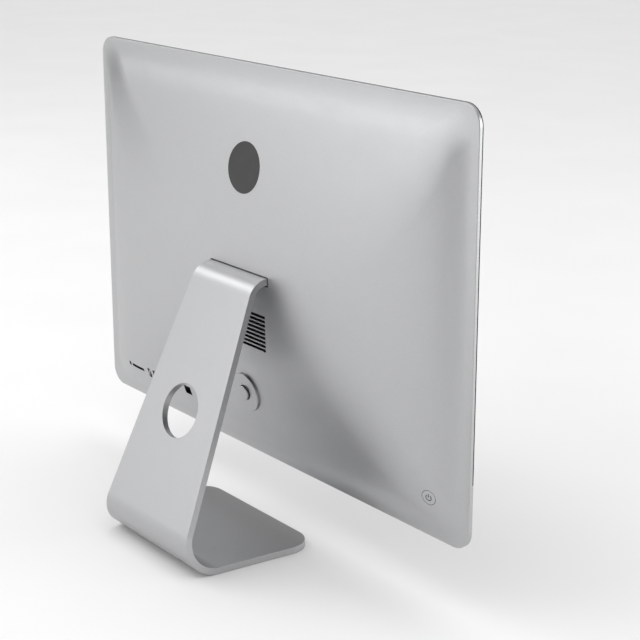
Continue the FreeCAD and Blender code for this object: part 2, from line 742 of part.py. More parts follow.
def tilt_cradle():
    """Steel bracket in the display: front sheet, two cheeks and the bridge that bears on the tongue."""
    sheet_sides = ("-cradle_half_width", "cradle_half_width")
    front_sheet = box("cradle_front_sheet", sheet_sides, ("cradle_front", CRADLE_FRONT), (257, 315))
    cheek_depths = ("cradle_front + 1", 32.4)
    cheeks = [box(f"cradle_cheek_{number}", (middle - 2.4, middle + 2.4), cheek_depths, (266, 309))
              for number, middle in enumerate((-55.2, 55.2))]
    bridge_inner = "neck_bend + running_gap + friction_gauge"
    bridge = sector("cradle_bridge", bridge_inner, "neck_bend + 5", "54", -28, -11)
    saddle_outer = "neck_bend - plate_gauge - running_gap"
    saddle = sector("cradle_saddle", f"{saddle_outer} - 4.6", saddle_outer, "54", -66, -14)
    holes = [rod(f"cradle_hole_{number}", "Y", "screw_radius + 0.3", "20", x, "cradle_front - 2", z)
             for number, (x, z, depth) in enumerate(CRADLE_POSTS)]
    whole = fuse("cradle_whole", front_sheet, *cheeks, bridge, saddle)
    return finish(cut("cradle_bored", whole, *holes), "tilt_cradle")


def friction_pads():
    """Two pads on the bridge that hold the tilt by friction."""
    inner = "neck_bend + running_gap"
    outer = "neck_bend + running_gap + friction_gauge"
    pads = [sector(f"friction_pad_{side}", inner, outer, "14", -27, -12, f"{side * 28}") for side in (-1, 1)]
    return finish(group("pads", pads), "friction_pads")


def tilt_stop():
    """Steel bar screwed to the tongue's end; it meets the bridge when the display leans fully forward."""
    end = SIZES["tongue_sweep"]
    bar = sector("stop_bar", "neck_bend - plate_gauge + 0.2", "neck_bend - 0.2", "46", -end - 5, -end)
    return finish(bar, "tilt_stop")


def post_screws(name, posts, sheet):
    """Screws that hold a sheet of some thickness onto posts."""
    screws = [screw(f"{name}_{number}", x, f"{depth} - ({sheet}) - screw_radius", z, f"{sheet} + 7")
              for number, (x, z, depth) in enumerate(posts)]
    return finish(group(name, screws), name)


# ---------------------------------------------------------------- electronics

def board_plate(name, x, z, posts, node, extras=()):
    """A circuit board with a screw hole at each of its posts and blocks soldered onto it."""
    plate = box(name + "_plate", x, ("board_front", "board_front + board_gauge"), z)
    holes = [rod(f"{name}_hole_{number}", "Y", "screw_radius + 0.3", "6", post_x, "board_front - 2", post_z)
             for number, (post_x, post_z, depth) in enumerate(posts)]
    drilled = cut(name + "_drilled", plate, *holes)
    return finish(fuse(name + "_whole", drilled, *extras) if extras else drilled, node)


BEHIND_BOARD = "board_front + board_gauge"
SLOT_REAR = "board_front + board_gauge + 5"
MEMORY_HEIGHTS = [186, 200, 214, 228]


def logic_board():
    """Main board with its memory slots and chip set."""
    slots = [box(f"memory_slot_{number}", (58, 116), (BEHIND_BOARD, SLOT_REAR), (low, low + 6))
             for number, low in enumerate(MEMORY_HEIGHTS)]
    chip = box("chip_set", (-60, -38), (BEHIND_BOARD, f"{BEHIND_BOARD} + 1.6"), (176, 198))
    board_plate("logic_board", (-132, 130), (170, 250), BOARD_POSTS, "logic_board", (*slots, chip))
    post_screws("logic_board_screws", BOARD_POSTS, "board_gauge")


def memory_modules():
    """Four modules standing in the board's slots."""
    chip_depths = (f"{SLOT_REAR} + 2", f"{SLOT_REAR} + 9")
    for number, slot_low in enumerate(MEMORY_HEIGHTS, start=1):
        low = slot_low + 1.6
        high = low + 1.2
        module = box(f"module_{number}", (60, 114), (SLOT_REAR, f"{SLOT_REAR} + 11"), (low, high))
        chips = [box(f"module_{number}_chip_at_{left}", (left, left + 10), chip_depths, (high, high + 1.2))
                 for left in (63, 76, 89, 102)]
        finish(fuse(f"module_{number}_whole", module, *chips), f"memory_module_{number}")


def processor():
    """Square package with a metal lid."""
    lid = box("processor_lid", (-17, 17), (f"{BEHIND_BOARD} + 1", f"{BEHIND_BOARD} + 3"), (193, 227))
    base = box("processor_base", (-20, 20), (BEHIND_BOARD, f"{BEHIND_BOARD} + 1"), (190, 230))
    return finish(fuse("processor_whole", base, lid), "processor")


def heat_sink():
    """Base on the processor with upright fins behind it, just inside the vents."""
    bottom = f"{BEHIND_BOARD} + 3"
    base = box("sink_base", (-34, 34), (bottom, f"{bottom} + 3"), (186, 248))
    fins = [box(f"fin_{number}", (left, left + 1), (f"{bottom} + 2", 27), (200, 248))
            for number, left in enumerate(range(-33, 34, 4))]
    return finish(fuse("sink_whole", base, *fins), "heat_sink")


FAN_WALL = 1.3
FAN_FRONT = SIZES["board_front"] + SIZES["board_gauge"] + 1.4
FAN_REAR = 25.0
FAN_SHAFT = 1.5


def fan_housing():
    """Round blower case with an inlet at the rear, an outlet towards the heat sink and a hub boss."""
    x, z = "fan_side", "fan_height"
    front, rear = FAN_FRONT, FAN_REAR
    inner_front, inner_rear = front + FAN_WALL, rear - FAN_WALL
    case = rod("fan_case", "Y", "fan_radius + 4", rear - front, x, front, z)
    inside = rod("fan_inside", "Y", "fan_radius + 2.6", inner_rear - inner_front, x, inner_front, z)
    chute = box("fan_chute", (x, f"{x} + fan_radius + 14"), (front, rear), (z, f"{z} + fan_radius + 4"))
    chute_inside = box("fan_chute_inside", (x, f"{x} + fan_radius + 20"), (inner_front, inner_rear),
                       (f"{z} + 2", f"{z} + fan_radius + 2.6"))
    inlet = rod("fan_inlet", "Y", "fan_radius - 9", "10", x, rear - 5, z)
    shaft = rod("fan_shaft", "Y", FAN_SHAFT, "11", x, front, z)
    space = fuse("fan_space", inside, chute_inside)
    hollowed = cut("fan_hollowed", fuse("fan_outer", case, chute), space, inlet)
    return finish(fuse("fan_housing_whole", hollowed, shaft), "fan_housing")


def fan_rotor():
    """Hub, back disc and curved blades; the bore runs on the housing's shaft."""
    owner = body("FanRotor")
    owner.setExpression("Placement.Base.x", linked("fan_side"))
    owner.setExpression("Placement.Base.z", linked("fan_height"))
    front = FAN_FRONT + FAN_WALL + 0.8
    disc_radius = SIZES["fan_radius"] - 2
    for name, radius, length in (("RotorDisc", disc_radius, "1.2"), ("RotorHub", 11.0, "11")):
        ring = sketch(owner, name, "XZ_Plane", f"-({front})")
        draw(ring, [Part.Circle(point(0, 0), NORMAL, edge) for edge in (radius, FAN_SHAFT + 0.05)])
        pad(owner, ring, length, rearwards=True)
    blade = sketch(owner, "RotorBlade", "XZ_Plane", f"-({front})")
    tip = disc_radius - 0.2
    root = tip - 9
    lower = [(root, -0.4), (tip - 4, 0.2), (tip, 2.2)]
    upper = [(tip - 0.6, 2.8), (tip - 4.4, 1.0), (root, 0.4)]
    draw(blade, outline(lower + upper))
    blade_pad = pad(owner, blade, "10.5", rearwards=True)
    blades = owner.newObject("PartDesign::PolarPattern", "Blades")
    blades.Originals = [blade_pad]
    blades.Axis = (blade, ["N_Axis"])
    blades.Angle = 360
    blades.Occurrences = FAN_BLADES
    owner.Tip = blades
    return finish(owner, "fan_rotor")


def drive_and_supply():
    """Power supply at the left as seen from the rear, drive at the right, each on a screwed tray."""
    supply = [box("supply_case", (152, 230), (BEHIND_BOARD, 18.5), (262, 330)),
              box("supply_cap", (156, 176), (BEHIND_BOARD, 22), (270, 290))]
    board_plate("supply", (140, 242), (252, 340), SUPPLY_POSTS, "power_supply", supply)
    post_screws("power_supply_screws", SUPPLY_POSTS, "board_gauge")
    board_plate("tray", (-238, -140), (256, 372), DRIVE_POSTS, "drive_tray")
    post_screws("drive_tray_screws", DRIVE_POSTS, "board_gauge")
    finish(box("drive", (-225, -155), (BEHIND_BOARD, f"{BEHIND_BOARD} + 7"), (268, 366)), "storage_drive")


def speakers():
    """A closed box with a round driver in each lower corner."""
    for middle, node in ((-234, "speaker_right"), (234, "speaker_left")):
        case = box(node + "_case", (middle - 38, middle + 38), ("-wall", "10"), ("131", "153"))
        driver = rod(node + "_driver", "Y", "9", "2", middle, "9", "142")
        finish(fuse(node + "_whole", case, driver), node)


LINING_GAP = 0.6


def lining(name, x, z, node):
    """A sheet that follows the inside of the back, a small gap within it."""
    lined = common(name, housing_shell, box(name + "_area", x, ("8", THROUGH), z))
    lined.setExpression("Placement.Base.y", linked(f"-wall - {LINING_GAP}"))
    return finish(lined, node)


def radio_parts():
    """Wireless card on the main board and the antenna that looks out through the badge."""
    finish(box("card", (28, 56), (BEHIND_BOARD, f"{BEHIND_BOARD} + 2"), (173, 184)), "wireless_card")
    lining("antenna_plate", ("-22", "22"), ("396", "428"), "antenna")
    lining("vent_mesh_sheet", ("-vent_half_width - 4", "vent_half_width + 4"), ("212", "261"), "vent_mesh")


stand_plate()
foot_pad()
tilt_stop()
rear_housing()
front_glass()
glass_gasket()
lcd_panel()
camera_module()
microphones()
tilt_cradle()
friction_pads()
post_screws("cradle_screws", CRADLE_POSTS, "cradle_sheet")
logic_board()
memory_modules()
processor()
heat_sink()
fan_housing()
fan_rotor()
drive_and_supply()
speakers()
radio_parts()

document.recompute()
for item in document.Objects:
    if "Invalid" in item.State or "Error" in item.State:
        raise RuntimeError(f"{item.Name} failed")

os.makedirs("parts", exist_ok=True)
for item in finished:
    if item.Shape.isNull() or not item.Shape.isValid():
        raise RuntimeError(f"{item.Label} is not a valid shape")
    item.Shape.exportStep(f"parts/{item.Label}.step")
    print(item.Label, len(item.Shape.Solids), round(item.Shape.Volume))
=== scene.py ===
import json
import math

import bmesh
import bpy
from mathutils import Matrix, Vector
from mathutils.bvhtree import BVHTree

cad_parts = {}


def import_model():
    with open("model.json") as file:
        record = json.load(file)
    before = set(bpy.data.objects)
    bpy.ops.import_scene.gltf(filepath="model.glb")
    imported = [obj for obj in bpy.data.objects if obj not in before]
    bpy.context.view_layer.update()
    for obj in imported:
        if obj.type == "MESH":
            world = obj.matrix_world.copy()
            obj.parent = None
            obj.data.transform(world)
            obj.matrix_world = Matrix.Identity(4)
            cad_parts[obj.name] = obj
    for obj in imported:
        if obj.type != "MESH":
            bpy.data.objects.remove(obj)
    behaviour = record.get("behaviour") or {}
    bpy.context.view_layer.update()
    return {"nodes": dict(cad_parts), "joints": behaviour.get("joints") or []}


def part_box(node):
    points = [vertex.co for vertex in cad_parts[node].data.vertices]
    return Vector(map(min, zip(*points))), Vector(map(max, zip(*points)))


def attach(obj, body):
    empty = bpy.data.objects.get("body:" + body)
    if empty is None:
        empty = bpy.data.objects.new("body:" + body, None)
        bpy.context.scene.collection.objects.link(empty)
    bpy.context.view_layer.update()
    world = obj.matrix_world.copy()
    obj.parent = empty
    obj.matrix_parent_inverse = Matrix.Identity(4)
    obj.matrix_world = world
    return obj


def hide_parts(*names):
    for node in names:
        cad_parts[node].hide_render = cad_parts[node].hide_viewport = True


# Looks of an all in one computer: a display with a domed aluminium back on a bent plate stand.
# Metres, +Z up, the screen faces -Y, the origin on the desk under the middle of the object.

MM = 0.001

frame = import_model()
nodes = frame["nodes"]
scene = bpy.context.scene
tilt_joint = next(joint for joint in frame["joints"] if joint["name"] == "display_tilt")


# ---------------------------------------------------------------- materials

class Shader:
    """A node material that is filled in step by step."""

    def __init__(self, name, **values):
        self.material = bpy.data.materials.new(name)
        self.material.use_nodes = True
        self.tree = self.material.node_tree
        self.surface = self.tree.nodes["Principled BSDF"]
        for socket, value in values.items():
            self.surface.inputs[socket.replace("_", " ")].default_value = value
        self.place = self.add("ShaderNodeTexCoord").outputs["Object"]

    def add(self, kind, **values):
        node = self.tree.nodes.new(kind)
        for name, value in values.items():
            setattr(node, name, value)
        return node

    def link(self, output, target):
        self.tree.links.new(output, target)

    def stretched(self, scale):
        """The object's own coordinates, scaled along each axis."""
        mapping = self.add("ShaderNodeMapping")
        mapping.inputs["Scale"].default_value = scale
        self.link(self.place, mapping.inputs["Vector"])
        return mapping.outputs["Vector"]

    def noise(self, scale, detail=3.0, vector=None):
        node = self.add("ShaderNodeTexNoise")
        node.inputs["Scale"].default_value = scale
        node.inputs["Detail"].default_value = detail
        self.link(vector or self.place, node.inputs["Vector"])
        return node.outputs["Fac"]

    def cells(self, scale):
        """Distance to the middle of the nearest cell, for grain and perforation."""
        node = self.add("ShaderNodeTexVoronoi")
        node.inputs["Scale"].default_value = scale
        self.link(self.place, node.inputs["Vector"])
        return node.outputs["Distance"]

    def spread(self, factor, low, high, start=0.3, end=0.7):
        """A factor remapped to run from low to high."""
        node = self.add("ShaderNodeMapRange")
        for socket, value in (("From Min", start), ("From Max", end), ("To Min", low), ("To Max", high)):
            node.inputs[socket].default_value = value
        self.link(factor, node.inputs["Value"])
        return node.outputs["Result"]

    def math(self, operation, first, second=None):
        node = self.add("ShaderNodeMath", operation=operation)
        for socket, value in zip(node.inputs, (first, second)):
            if isinstance(value, (int, float)):
                socket.default_value = value
            elif value is not None:
                self.link(value, socket)
        return node.outputs["Value"]

    def axis(self, name):
        node = self.add("ShaderNodeSeparateXYZ")
        self.link(self.place, node.inputs["Vector"])
        return node.outputs[name]

    def mix(self, factor, first, second):
        node = self.add("ShaderNodeMix", data_type="RGBA")
        self.link(factor, node.inputs["Factor"])
        for name, colour in (("A", first), ("B", second)):
            socket = next(item for item in node.inputs if item.name == name and item.type == "RGBA")
            if isinstance(colour, (tuple, list)):
                socket.default_value = (*colour, 1.0)
            else:
                self.link(colour, socket)
        return next(item for item in node.outputs if item.type == "RGBA")

    def bump(self, height, distance, strength=1.0):
        """Adds a bump on top of those already there."""
        node = self.add("ShaderNodeBump")
        node.inputs["Distance"].default_value = distance
        node.inputs["Strength"].default_value = strength
        self.link(height, node.inputs["Height"])
        normal = self.surface.inputs["Normal"]
        if normal.is_linked:
            self.link(normal.links[0].from_socket, node.inputs["Normal"])
        self.link(node.outputs["Normal"], normal)

    def colour(self, output):
        self.link(output, self.surface.inputs["Base Color"])

    def roughness(self, output):
        self.link(output, self.surface.inputs["Roughness"])


def grey(value):
    return (value, value, value)


def blasted_aluminium():
    """Bead blasted, clear anodised aluminium: a fine even grain and the faintest unevenness of tone."""
    shader = Shader("blasted_aluminium", Metallic=1.0, IOR=1.5)
    tone = shader.spread(shader.noise(3.5, 2.0), 0, 1)
    speckle = shader.spread(shader.noise(1100, 2.0), 0, 1, 0.25, 0.75)
    base = shader.mix(tone, (0.452, 0.456, 0.461), (0.470, 0.474, 0.479))
    shader.colour(shader.mix(speckle, base, (0.505, 0.509, 0.514)))
    shader.roughness(shader.spread(shader.noise(55, 4.0), 0.405, 0.435))
    shader.bump(shader.noise(1500, 2.0), 0.00003, 0.3)
    return shader.material


def screen_glass(name, half_width, low, high, camera_height):
    """Cover glass: black border, deep grey panel, the camera's small window and a few faint smears."""
    shader = Shader(name, Metallic=0.0, IOR=1.5)
    inside = shader.math("LESS_THAN", shader.math("ABSOLUTE", shader.axis("X")), half_width)
    for operation, edge in (("GREATER_THAN", low), ("LESS_THAN", high)):
        inside = shader.math("MULTIPLY", inside, shader.math(operation, shader.axis("Z"), edge))
    weave = shader.spread(shader.noise(2600, 1.0), 0, 1)
    panel = shader.mix(weave, (0.012, 0.0125, 0.014), (0.017, 0.0175, 0.019))
    face = shader.mix(inside, (0.0035, 0.0035, 0.004), panel)
    distance = shader.add("ShaderNodeVectorMath", operation="DISTANCE")
    distance.inputs[1].default_value = (0.0, 0.0, camera_height)
    shader.link(shader.stretched((1.0, 0.0, 1.0)), distance.inputs[0])
    for radius, colour in ((WINDOW_RADIUS, (0.03, 0.032, 0.04)), (LENS_RADIUS, (0.004, 0.006, 0.02))):
        face = shader.mix(shader.math("LESS_THAN", distance.outputs["Value"], radius), face, colour)
    shader.colour(face)
    smear = shader.noise(9, 4.0, shader.stretched((1.0, 1.0, 2.4)))
    shader.roughness(shader.spread(smear, 0.045, 0.085))
    return shader.material


def plain(name, colour, roughness, grain=900, depth=0.00003, metallic=0.0, darker=0.84):
    """Moulded or plated surface with a little variation of tone and gloss and a fine grain."""
    shader = Shader(name, Metallic=metallic)
    dark = tuple(channel * darker for channel in colour)
    shader.colour(shader.mix(shader.spread(shader.noise(60, 4.0), 0, 1), dark, colour))
    shader.roughness(shader.spread(shader.noise(120, 3.0), roughness - 0.05, roughness + 0.05))
    shader.bump(shader.noise(grain, 2.0), depth, 0.4)
    return shader.material


def board_mask():
    """Solder mask with copper tracks that show as faint lines under it."""
    shader = Shader("board_mask", IOR=1.5, Coat_Weight=0.3, Coat_Roughness=0.2)
    node = shader.add("ShaderNodeTexBrick")
    for socket, value in (("Scale", 160.0), ("Mortar Size", 0.03), ("Bias", 0.0)):
        node.inputs[socket].default_value = value
    turned = shader.add("ShaderNodeMapping")
    turned.inputs["Rotation"].default_value = (math.pi / 2, 0.0, 0.0)
    shader.link(shader.place, turned.inputs["Vector"])
    shader.link(turned.outputs["Vector"], node.inputs["Vector"])
    tracks = shader.math("SUBTRACT", 1.0, node.outputs["Fac"])
    shader.colour(shader.mix(tracks, (0.035, 0.075, 0.055), (0.012, 0.03, 0.024)))
    shader.roughness(shader.spread(shader.noise(200, 3.0), 0.3, 0.42))
    shader.bump(tracks, 0.00004, 0.5)
    return shader.material


def perforated_black():
    """Black sheet with a fine pattern of holes, bumped in and painted darker: painted shade inside them.
    """
    shader = Shader("perforated_black")
    holes = shader.spread(shader.cells(650), 0, 1, 0.2, 0.45)
    # The holes are painted darker: painted shade inside them.
    shader.colour(shader.mix(holes, grey(0.002), grey(0.012)))
    shader.roughness(shader.spread(shader.noise(150, 3.0), 0.55, 0.7))
    shader.bump(holes, 0.0001, 0.6)
    return shader.material


def brushed(name, colour, roughness, scale):
    """Metal with fine lines that run along X."""
    shader = Shader(name, Metallic=1.0)
    lines = shader.noise(1.0, 4.0, shader.stretched(scale))
    dark = tuple(channel * 0.88 for channel in colour)
    shader.colour(shader.mix(shader.spread(lines, 0, 1), dark, colour))
    shader.roughness(shader.spread(lines, roughness - 0.06, roughness + 0.06))
    shader.bump(lines, 0.00002, 0.4)
    return shader.material


def give(material, *names):
    """Gives one material to the named CAD nodes."""
    for name in names:
        slots = nodes[name].data.materials
        slots.clear()
        slots.append(material)


def starting(*starts):
    """Names of the CAD nodes that start with any of these."""
    return [name for name in nodes if name.startswith(starts)]


WINDOW_RADIUS = 2.2 * MM
LENS_RADIUS = WINDOW_RADIUS * 0.55
BORDER = 25.5 * MM
SCREEN_TOP = 26.8 * MM
SCREEN_FOOT = 23.8 * MM
glass_low, glass_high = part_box("front_glass")
camera_low, camera_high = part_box("camera_module")

aluminium = blasted_aluminium()
steel = brushed("zinc_plated_steel", (0.50, 0.51, 0.53), 0.34, (40.0, 900.0, 900.0))
port_metal = brushed("port_shell_metal", grey(0.30), 0.32, (900.0, 60.0, 900.0))
brass = plain("contact_brass", (0.62, 0.52, 0.33), 0.3, metallic=1.0)
black = plain("black_plastic", grey(0.016), 0.5)
# Near black painted on the card reader: painted shade inside the card slot.
painted_slot_shade = plain("painted_slot_shade_black", grey(0.003), 0.8)
tongue_grey = plain("port_tongue", grey(0.30), 0.45)
glass = screen_glass("dark_cover_glass", glass_high[0] - BORDER, glass_low[2] + SCREEN_FOOT,
                     glass_high[2] - SCREEN_TOP, (camera_low[2] + camera_high[2]) / 2)

give(aluminium, "rear_housing", "stand_plate", "power_button", "power_inlet", "inlet_cap")
give(glass, "front_glass")
give(plain("badge_dark_plastic", grey(0.026), 0.42, 1600, 0.00002), "badge_disc")
give(plain("gasket_foam", grey(0.01), 0.8, 2500, 0.0001), "glass_gasket")
give(plain("panel_back", grey(0.014), 0.6), "lcd_panel")
give(plain("foot_pad_rubber", grey(0.16), 0.75, 2500, 0.00008), "foot_pad")
give(steel, "tilt_cradle", "tilt_stop", "drive_tray", *starting("cradle_screws", "logic_board_screws"),
     "power_supply_screws", "drive_tray_screws")
give(brushed("processor_lid", (0.55, 0.55, 0.56), 0.3, (60.0, 900.0, 900.0)), "processor")
give(port_metal, *starting("usb_socket", "fast_socket", "network_socket"))
# The card reader gets the painted shade of its slot.
give(painted_slot_shade, "card_reader")
give(brass, "inlet_contacts")
give(plain("friction_lining", (0.09, 0.07, 0.06), 0.8, 1200, 0.00006), "friction_pads")
give(board_mask(), "logic_board", "camera_module", "wireless_card", *starting("memory_module"))
give(black, "headphone_jack", "fan_housing", "fan_rotor", "speaker_left", "speaker_right",
     "button_switch", "microphones", "antenna", "power_supply")
give(perforated_black(), "vent_mesh")
give(brushed("sink_aluminium", (0.58, 0.59, 0.6), 0.38, (50.0, 800.0, 800.0)),
     "heat_sink", "storage_drive")


# ---------------------------------------------------------------- pieces

SHARP_ANGLE = math.radians(40)
ROUND_SIDES = 96


def steps(first, last, count):
    """Evenly spaced values from first to last, both included."""
    return [first + (last - first) * number / count for number in range(count + 1)]


def placed(name, shape):
    """A finished bmesh becomes an object in the scene."""
    mesh = bpy.data.meshes.new(name)
    shape.to_mesh(mesh)
    shape.free()
    item = bpy.data.objects.new(name, mesh)
    scene.collection.objects.link(item)
    return item


def piece(name, shape, material, body, smooth=True):
    """A finished bmesh becomes a piece of the object that rides on a body."""
    bmesh.ops.recalc_face_normals(shape, faces=shape.faces)
    item = placed(name, shape)
    for face in item.data.polygons:
        face.use_smooth = smooth
    item.data.materials.append(material)
    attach(item, body)
    return item


def keep_flat(item):
    """Flat faces keep their own direction in the shading."""
    item.modifiers.new("flat faces", "WEIGHTED_NORMAL").weight = 100


def soften(item, width, segments=3):
    """Rounds the sharp edges and keeps the flat faces flat."""
    bevel = item.modifiers.new("edges", "BEVEL")
    bevel.width = width
    bevel.segments = segments
    bevel.limit_method = "ANGLE"
    bevel.angle_limit = SHARP_ANGLE
    keep_flat(item)


def loop_faces(shape, loops, closed_ends=True):
    """Walls between successive loops of vertices, and caps on both ends."""
    for before, after in zip(loops, loops[1:]):
        for number in range(len(before)):
            following = (number + 1) % len(before)
            shape.faces.new((before[number], before[following], after[following], after[number]))
    if closed_ends:
        shape.faces.new(loops[0])
        shape.faces.new(reversed(loops[-1]))


# ---------------------------------------------------------------- stand

GAUGE = 7.5 * MM
NECK_RADIUS = 26.7 * MM
FOOT_RADIUS = 35.0 * MM
LEG_TURN = math.radians(90 - 23.42)
TONGUE_TURN = math.radians(-38.0)
NECK_HALF_WIDTH = 50.2 * MM
LEG_FLARE = 0.092
FOOT_FLARE = 0.148
NECK_STRAIGHT = 18.0 * MM
FOOT_CORNER = 26.0 * MM
FOOT_LIFT = 0.4 * MM
HOLE_RADIUS = 30.0 * MM
HOLE_HEIGHT = 156.0 * MM
EDGE_ROUND = 0.7 * MM
# Steps along the neck bend, the foot bend and the foot's rounded front.
NECK_STEPS, FOOT_STEPS, FRONT_STEPS = 36, 34, 14
# How far the cable hole's cutter reaches out of the leg on its outer and inner side.
CUTTER_OUT, CUTTER_IN = 4 * GAUGE, -5 * GAUGE


def normal_at(turn):
    """Outward direction in the side view; the angle runs from straight up towards the rear."""
    return Vector((0.0, math.sin(turn), math.cos(turn)))


def stand_stations():
    """Outer point, outward direction and half width, from the tongue to the foot's front."""
    plate_low, plate_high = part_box("stand_plate")
    neck = Vector(tilt_joint["pos_m"])
    foot = Vector((0.0, plate_high[1] - FOOT_RADIUS, FOOT_LIFT + FOOT_RADIUS))
    leg_start = neck + normal_at(LEG_TURN) * NECK_RADIUS
    leg_end = foot + normal_at(LEG_TURN) * FOOT_RADIUS
    up_leg = (leg_start - leg_end).normalized()
    leg_length = (leg_start - leg_end).length
    start_half = NECK_HALF_WIDTH + LEG_FLARE * NECK_RADIUS * LEG_TURN
    end_half = start_half + LEG_FLARE * leg_length
    foot_half = end_half + FOOT_FLARE * FOOT_RADIUS * (math.pi - LEG_TURN)
    stations = []
    for turn in steps(TONGUE_TURN, LEG_TURN, NECK_STEPS):
        outward = normal_at(turn)
        above = min((outward * NECK_RADIUS + neck - leg_start).dot(up_leg), NECK_STRAIGHT)
        half_width = start_half - LEG_FLARE * max(above, 0.0)
        stations.append((neck + outward * NECK_RADIUS, outward, half_width))
    for turn in steps(LEG_TURN, math.pi, FOOT_STEPS):
        share = (turn - LEG_TURN) / (math.pi - LEG_TURN)
        half_width = end_half + (foot_half - end_half) * share
        stations.append((foot + normal_at(turn) * FOOT_RADIUS, normal_at(turn), half_width))
    front = plate_low[1]
    length = foot.y - front
    wide = foot_half + FOOT_FLARE * length
    slant = math.sqrt(1 + FOOT_FLARE ** 2)
    corner_middle = wide - FOOT_FLARE * FOOT_CORNER - FOOT_CORNER * slant
    for turn in steps(math.atan(FOOT_FLARE), -math.pi / 2, FRONT_STEPS):
        back_from_front = FOOT_CORNER * (1 + math.sin(turn))
        half_width = corner_middle + FOOT_CORNER * math.cos(turn)
        outer = Vector((0.0, front + back_from_front, FOOT_LIFT))
        stations.append((outer, normal_at(math.pi), half_width))
    return stations, leg_start, up_leg


def cable_hole_cutter(leg_start, up_leg):
    """The rod that bores the cable hole square through the leg."""
    middle = leg_start - up_leg * ((leg_start.z - HOLE_HEIGHT) / up_leg.z)
    outward = normal_at(LEG_TURN)
    shape = bmesh.new()
    rings = []
    for reach in (CUTTER_OUT, CUTTER_IN):
        ring = []
        for number in range(ROUND_SIDES):
            angle = 2 * math.pi * number / ROUND_SIDES
            around = Vector((math.cos(angle), 0.0, 0.0)) + up_leg * math.sin(angle)
            ring.append(shape.verts.new(middle + around * HOLE_RADIUS + outward * reach))
        rings.append(ring)
    loop_faces(shape, rings)
    bmesh.ops.recalc_face_normals(shape, faces=shape.faces)
    return placed("bore", shape)


def stand():
    """The plate in one sweep, its edges softened and the cable hole bored through the leg."""
    stations, leg_start, up_leg = stand_stations()
    shape = bmesh.new()
    loops = []
    for outer, outward, half_width in stations:
        inner = outer - outward * GAUGE
        corners = [(-half_width, outer), (half_width, outer), (half_width, inner), (-half_width, inner)]
        loops.append([shape.verts.new((x, middle.y, middle.z)) for x, middle in corners])
    loop_faces(shape, loops)
    plate = piece("stand_shell", shape, aluminium, "stand")
    cutter = cable_hole_cutter(leg_start, up_leg)
    boolean = plate.modifiers.new("cable hole", "BOOLEAN")
    boolean.object = cutter
    boolean.solver = "EXACT"
    bpy.context.view_layer.update()
    evaluated = plate.evaluated_get(bpy.context.evaluated_depsgraph_get())
    plate.data = bpy.data.meshes.new_from_object(evaluated)
    plate.modifiers.clear()
    bpy.data.objects.remove(cutter)
    for face in plate.data.polygons:
        face.use_smooth = True
    soften(plate, EDGE_ROUND)
    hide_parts("stand_plate")


stand()


# ---------------------------------------------------------------- discs that follow the back

DISC_ROUND = 0.6 * MM
CAP_GAP = 0.1 * MM
# The surface is probed this far inside the disc's own edges.
PROBE_MARGIN = 0.2 * MM
ROUND_STEPS, FACE_STEPS = 4, 8


def surface_finder(node):
    """Finds the depth of a node's rear surface at x, z."""
    mesh = nodes[node].data
    tree = BVHTree.FromPolygons([vertex.co.copy() for vertex in mesh.vertices],
                                [tuple(face.vertices) for face in mesh.polygons])

    def find(x, z):
        hit = tree.ray_cast(Vector((x, 1.0, z)), Vector((0.0, -1.0, 0.0)))
        return hit[0].y
    return find


def domed_disc(name, node, hole=0.0):
    """A disc or ring with the node's own outline and rear surface, its outer rear edge rounded off."""
    low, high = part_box(node)
    middle_x, middle_z = (low[0] + high[0]) / 2, (low[2] + high[2]) / 2
    radius = (high[0] - low[0]) / 2
    depth_at = surface_finder(node)
    inside, outside = hole + PROBE_MARGIN, radius - PROBE_MARGIN
    # Each ring is its radius and how far it lies below the surface; None is the front of the node.
    rings = [(radius, None)]
    rings += [(radius - DISC_ROUND * (1 - math.cos(turn)), DISC_ROUND * (1 - math.sin(turn)))
              for turn in steps(0.0, math.pi / 2, ROUND_STEPS)]
    rings += [(reach, 0.0) for reach in steps(radius - DISC_ROUND, hole or MM, FACE_STEPS)[1:]]
    if hole:
        rings.append((hole, None))
    shape = bmesh.new()
    loops = []
    for reach, below in rings:
        found_at = min(max(reach, inside), outside)
        loop = []
        for number in range(ROUND_SIDES):
            turn = 2 * math.pi * number / ROUND_SIDES
            across, up = math.cos(turn), math.sin(turn)
            x, z = middle_x + reach * across, middle_z + reach * up
            y = low[1]
            if below is not None:
                y = depth_at(middle_x + found_at * across, middle_z + found_at * up) - below
            loop.append(shape.verts.new((x, y, z)))
        loops.append(loop)
    if hole:
        loops.append(loops[0])
    loop_faces(shape, loops, closed_ends=not hole)
    item = piece(name, shape, aluminium, "display")
    keep_flat(item)
    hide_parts(node)


cap_low, cap_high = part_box("inlet_cap")
domed_disc("inlet_ring", "power_inlet", (cap_high[0] - cap_low[0]) / 2 + CAP_GAP)
domed_disc("inlet_hub", "inlet_cap")


# ---------------------------------------------------------------- port tongues

TONGUE_SHARES = (0.24, 0.31)
TONGUE_RECESS = 1.4 * MM
TONGUE_ROUND = 0.25 * MM
CONTACT_SHARES = (-0.66, -0.22, 0.22, 0.66)
CONTACT_HALF = 0.5 * MM
CONTACT_SINK = 0.1 * MM
CONTACT_PROUD = 0.08 * MM
CONTACT_RECESS = 1.2 * MM


def block(shape, low, high):
    """A closed box between two corners."""
    corners = [(low[0], low[2]), (high[0], low[2]), (high[0], high[2]), (low[0], high[2])]
    loops = [[shape.verts.new((x, y, z)) for x, z in corners] for y in (low[1], high[1])]
    loop_faces(shape, loops)


